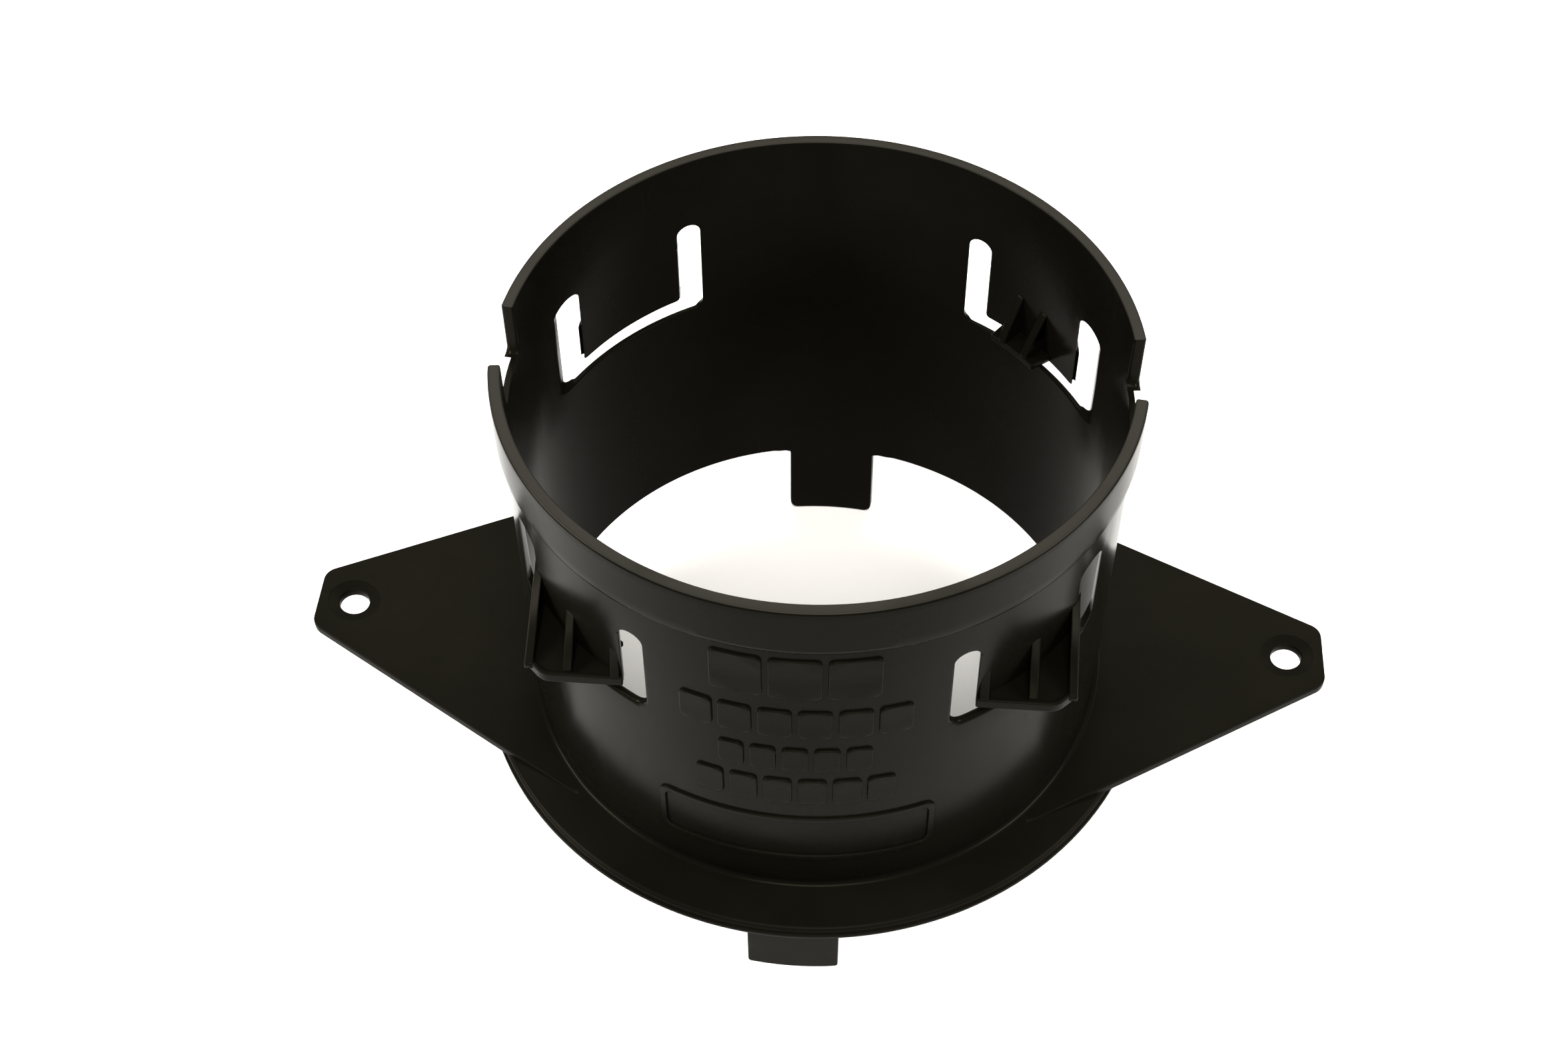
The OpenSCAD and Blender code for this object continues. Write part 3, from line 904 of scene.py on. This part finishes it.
for latch in LATCHES:
    body = latch + "_latch"
    finger = piece(latch + "_flex_finger", build_finger(latch), BARREL_PLASTIC, None, latch + "_finger")
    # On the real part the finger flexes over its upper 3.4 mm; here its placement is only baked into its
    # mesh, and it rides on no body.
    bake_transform(finger)
    piece(latch + "_hook_shelf", build_shelf(latch), HOOK_PLASTIC, body, latch + "_shelf")
    for rib in RIBS:
        piece(latch + "_hook_" + rib, build_rib(latch, rib), HOOK_PLASTIC, body, latch + "_" + rib)
    if latch in GRIPPING:
        piece(latch + "_inward_shelf", build_grip_shelf(latch), HOOK_PLASTIC, body, latch + "_grip_shelf")
        piece(latch + "_inward_ribs", build_grip_ribs(latch), HOOK_PLASTIC, body, latch + "_grip_ribs")


# ---------------------------------------------------------------- blank label

pad_low, pad_high = span("label_pad")
PAD_RAISE = 0.4
PAD_FRAME = 1.2
PAD_CORNER = 2
PAD_INNER_CORNER = 1.4
PAD_SUNK = 0.3  # how far raised marks reach into the wall


def on_front(u, v, d):
    """A raised point on the front of the barrel: u runs to the right along the wall."""
    angle = u / R_WALL
    radius = R_WALL + PAD_RAISE - d
    return radius * math.sin(angle), -radius * math.cos(angle), v


def raised_depth(u, v):
    return PAD_RAISE + PAD_SUNK


def half_width(reach):
    """Half the width along the wall of a raised mark that reaches that far along X."""
    return R_WALL * math.asin(reach / (R_WALL + PAD_RAISE))


def build_label(mesh):
    """A plain raised frame with nothing in it."""
    half, low, high = half_width(pad_high[0]), pad_low[2], pad_high[2]
    outer = rounded_box(-half, low, half, high, PAD_CORNER)
    half, low, high = half - PAD_FRAME, low + PAD_FRAME, high - PAD_FRAME
    inner = rounded_box(-half, low, half, high, PAD_INNER_CORNER)
    loops = [divided(outer, COLUMN), divided(inner, COLUMN)]
    add_plate(mesh, loops, on_front, raised_depth, lambda u, v: (0.18, 0))


piece("blank_label_frame", build_label, BARREL_PLASTIC, "root", "label_pad")

# Middle above the ring, width along X and height of each row of blank tiles.
LABEL_ROWS = ((29.4, 31, 6.4), (38, 23.6, 5.8), (47.4, 35, 6.6), (58.7, 25.4, 9.2))
TILE_SHARE = 0.85  # width of a tile with its gap, by the height of its row
TILE_GAP = 0.9
TILE_CORNER = 0.9


def build_rows(mesh):
    """Rows of plain raised tiles."""
    for middle, width, height in LABEL_ROWS:
        half = half_width(width / 2)
        tiles = round(2 * half / (height * TILE_SHARE))
        step = (2 * half + TILE_GAP) / tiles
        low = Z_RING + middle - height / 2
        for k in range(tiles):
            start = -half + step * k
            end = start + step - TILE_GAP
            outline = rounded_box(start, low, end, low + height, TILE_CORNER)
            add_plate(mesh, [divided(outline, COLUMN)], on_front, raised_depth, lambda u, v: (0.2, 0))


piece("blank_label_rows", build_rows, BARREL_PLASTIC, "root", "label_rows")


# ---------------------------------------------------------------- floor, lights and camera

def make_floor():
    """A plain pale floor just under the tabs."""
    bpy.ops.mesh.primitive_plane_add(size=4, location=(0, 0, -0.0002))
    floor = bpy.context.object
    floor.name = "studio_floor"
    material = bpy.data.materials.new("pale_floor")
    material.use_nodes = True
    shader = material.node_tree.nodes["Principled BSDF"]
    shader.inputs["Base Color"].default_value = (0.9, 0.9, 0.895, 1)
    shader.inputs["Roughness"].default_value = 0.85
    shader.inputs["Specular IOR Level"].default_value = 0.2
    floor.data.materials.append(material)


def area_light(name, place, aim, size, power, colour=(1, 1, 1)):
    data = bpy.data.lights.new(name, "AREA")
    data.shape = "RECTANGLE"
    data.size, data.size_y = size
    data.energy = power
    data.color = colour
    light = bpy.data.objects.new(name, data)
    light.location = place
    light.rotation_euler = (Vector(aim) - Vector(place)).to_track_quat("-Z", "Y").to_euler()
    bpy.context.scene.collection.objects.link(light)


def make_world():
    world = bpy.data.worlds.new("soft_room")
    world.use_nodes = True
    background = world.node_tree.nodes["Background"]
    background.inputs["Color"].default_value = (1, 0.96, 0.87, 1)
    background.inputs["Strength"].default_value = 0.45
    bpy.context.scene.world = world


CAMERA_PLACE = (0.01368, -0.23603, 0.31923 + Z_RING * MM)
CAMERA_TURN = math.radians(4.623)
CAMERA_ELEVATION = math.radians(50.242)
CAMERA_ROLL = math.radians(-0.307)
LENS = 51.22


def make_camera():
    data = bpy.data.cameras.new("camera")
    data.sensor_fit = "HORIZONTAL"
    data.sensor_width = 36
    data.lens = LENS
    data.clip_start = 0.01
    camera = bpy.data.objects.new("camera", data)
    turn = (
        Matrix.Rotation(CAMERA_TURN, 4, "Z")
        @ Matrix.Rotation(math.pi / 2 - CAMERA_ELEVATION, 4, "X")
        @ Matrix.Rotation(CAMERA_ROLL, 4, "Z")
    )
    camera.matrix_world = Matrix.Translation(CAMERA_PLACE) @ turn
    bpy.context.scene.collection.objects.link(camera)
    bpy.context.scene.camera = camera


make_floor()
make_world()
area_light("front_softbox", (0.05, -0.6, 1.05), (0, 0, 0.03), (0.5, 0.5), 19, (1, 0.97, 0.92))
area_light("rear_softbox", (0, 0.95, 1.12), (0, 0, 0.03), (1.1, 0.5), 14, (1, 0.96, 0.88))
area_light("left_floor_light", (-0.3, -0.08, 0.22), (-0.13, -0.02, 0), (0.15, 0.15), 2.4)
area_light("right_floor_light", (0.3, -0.08, 0.22), (0.13, -0.02, 0), (0.15, 0.15), 1.8)
make_camera()
bpy.context.scene.view_settings.view_transform = "Standard"
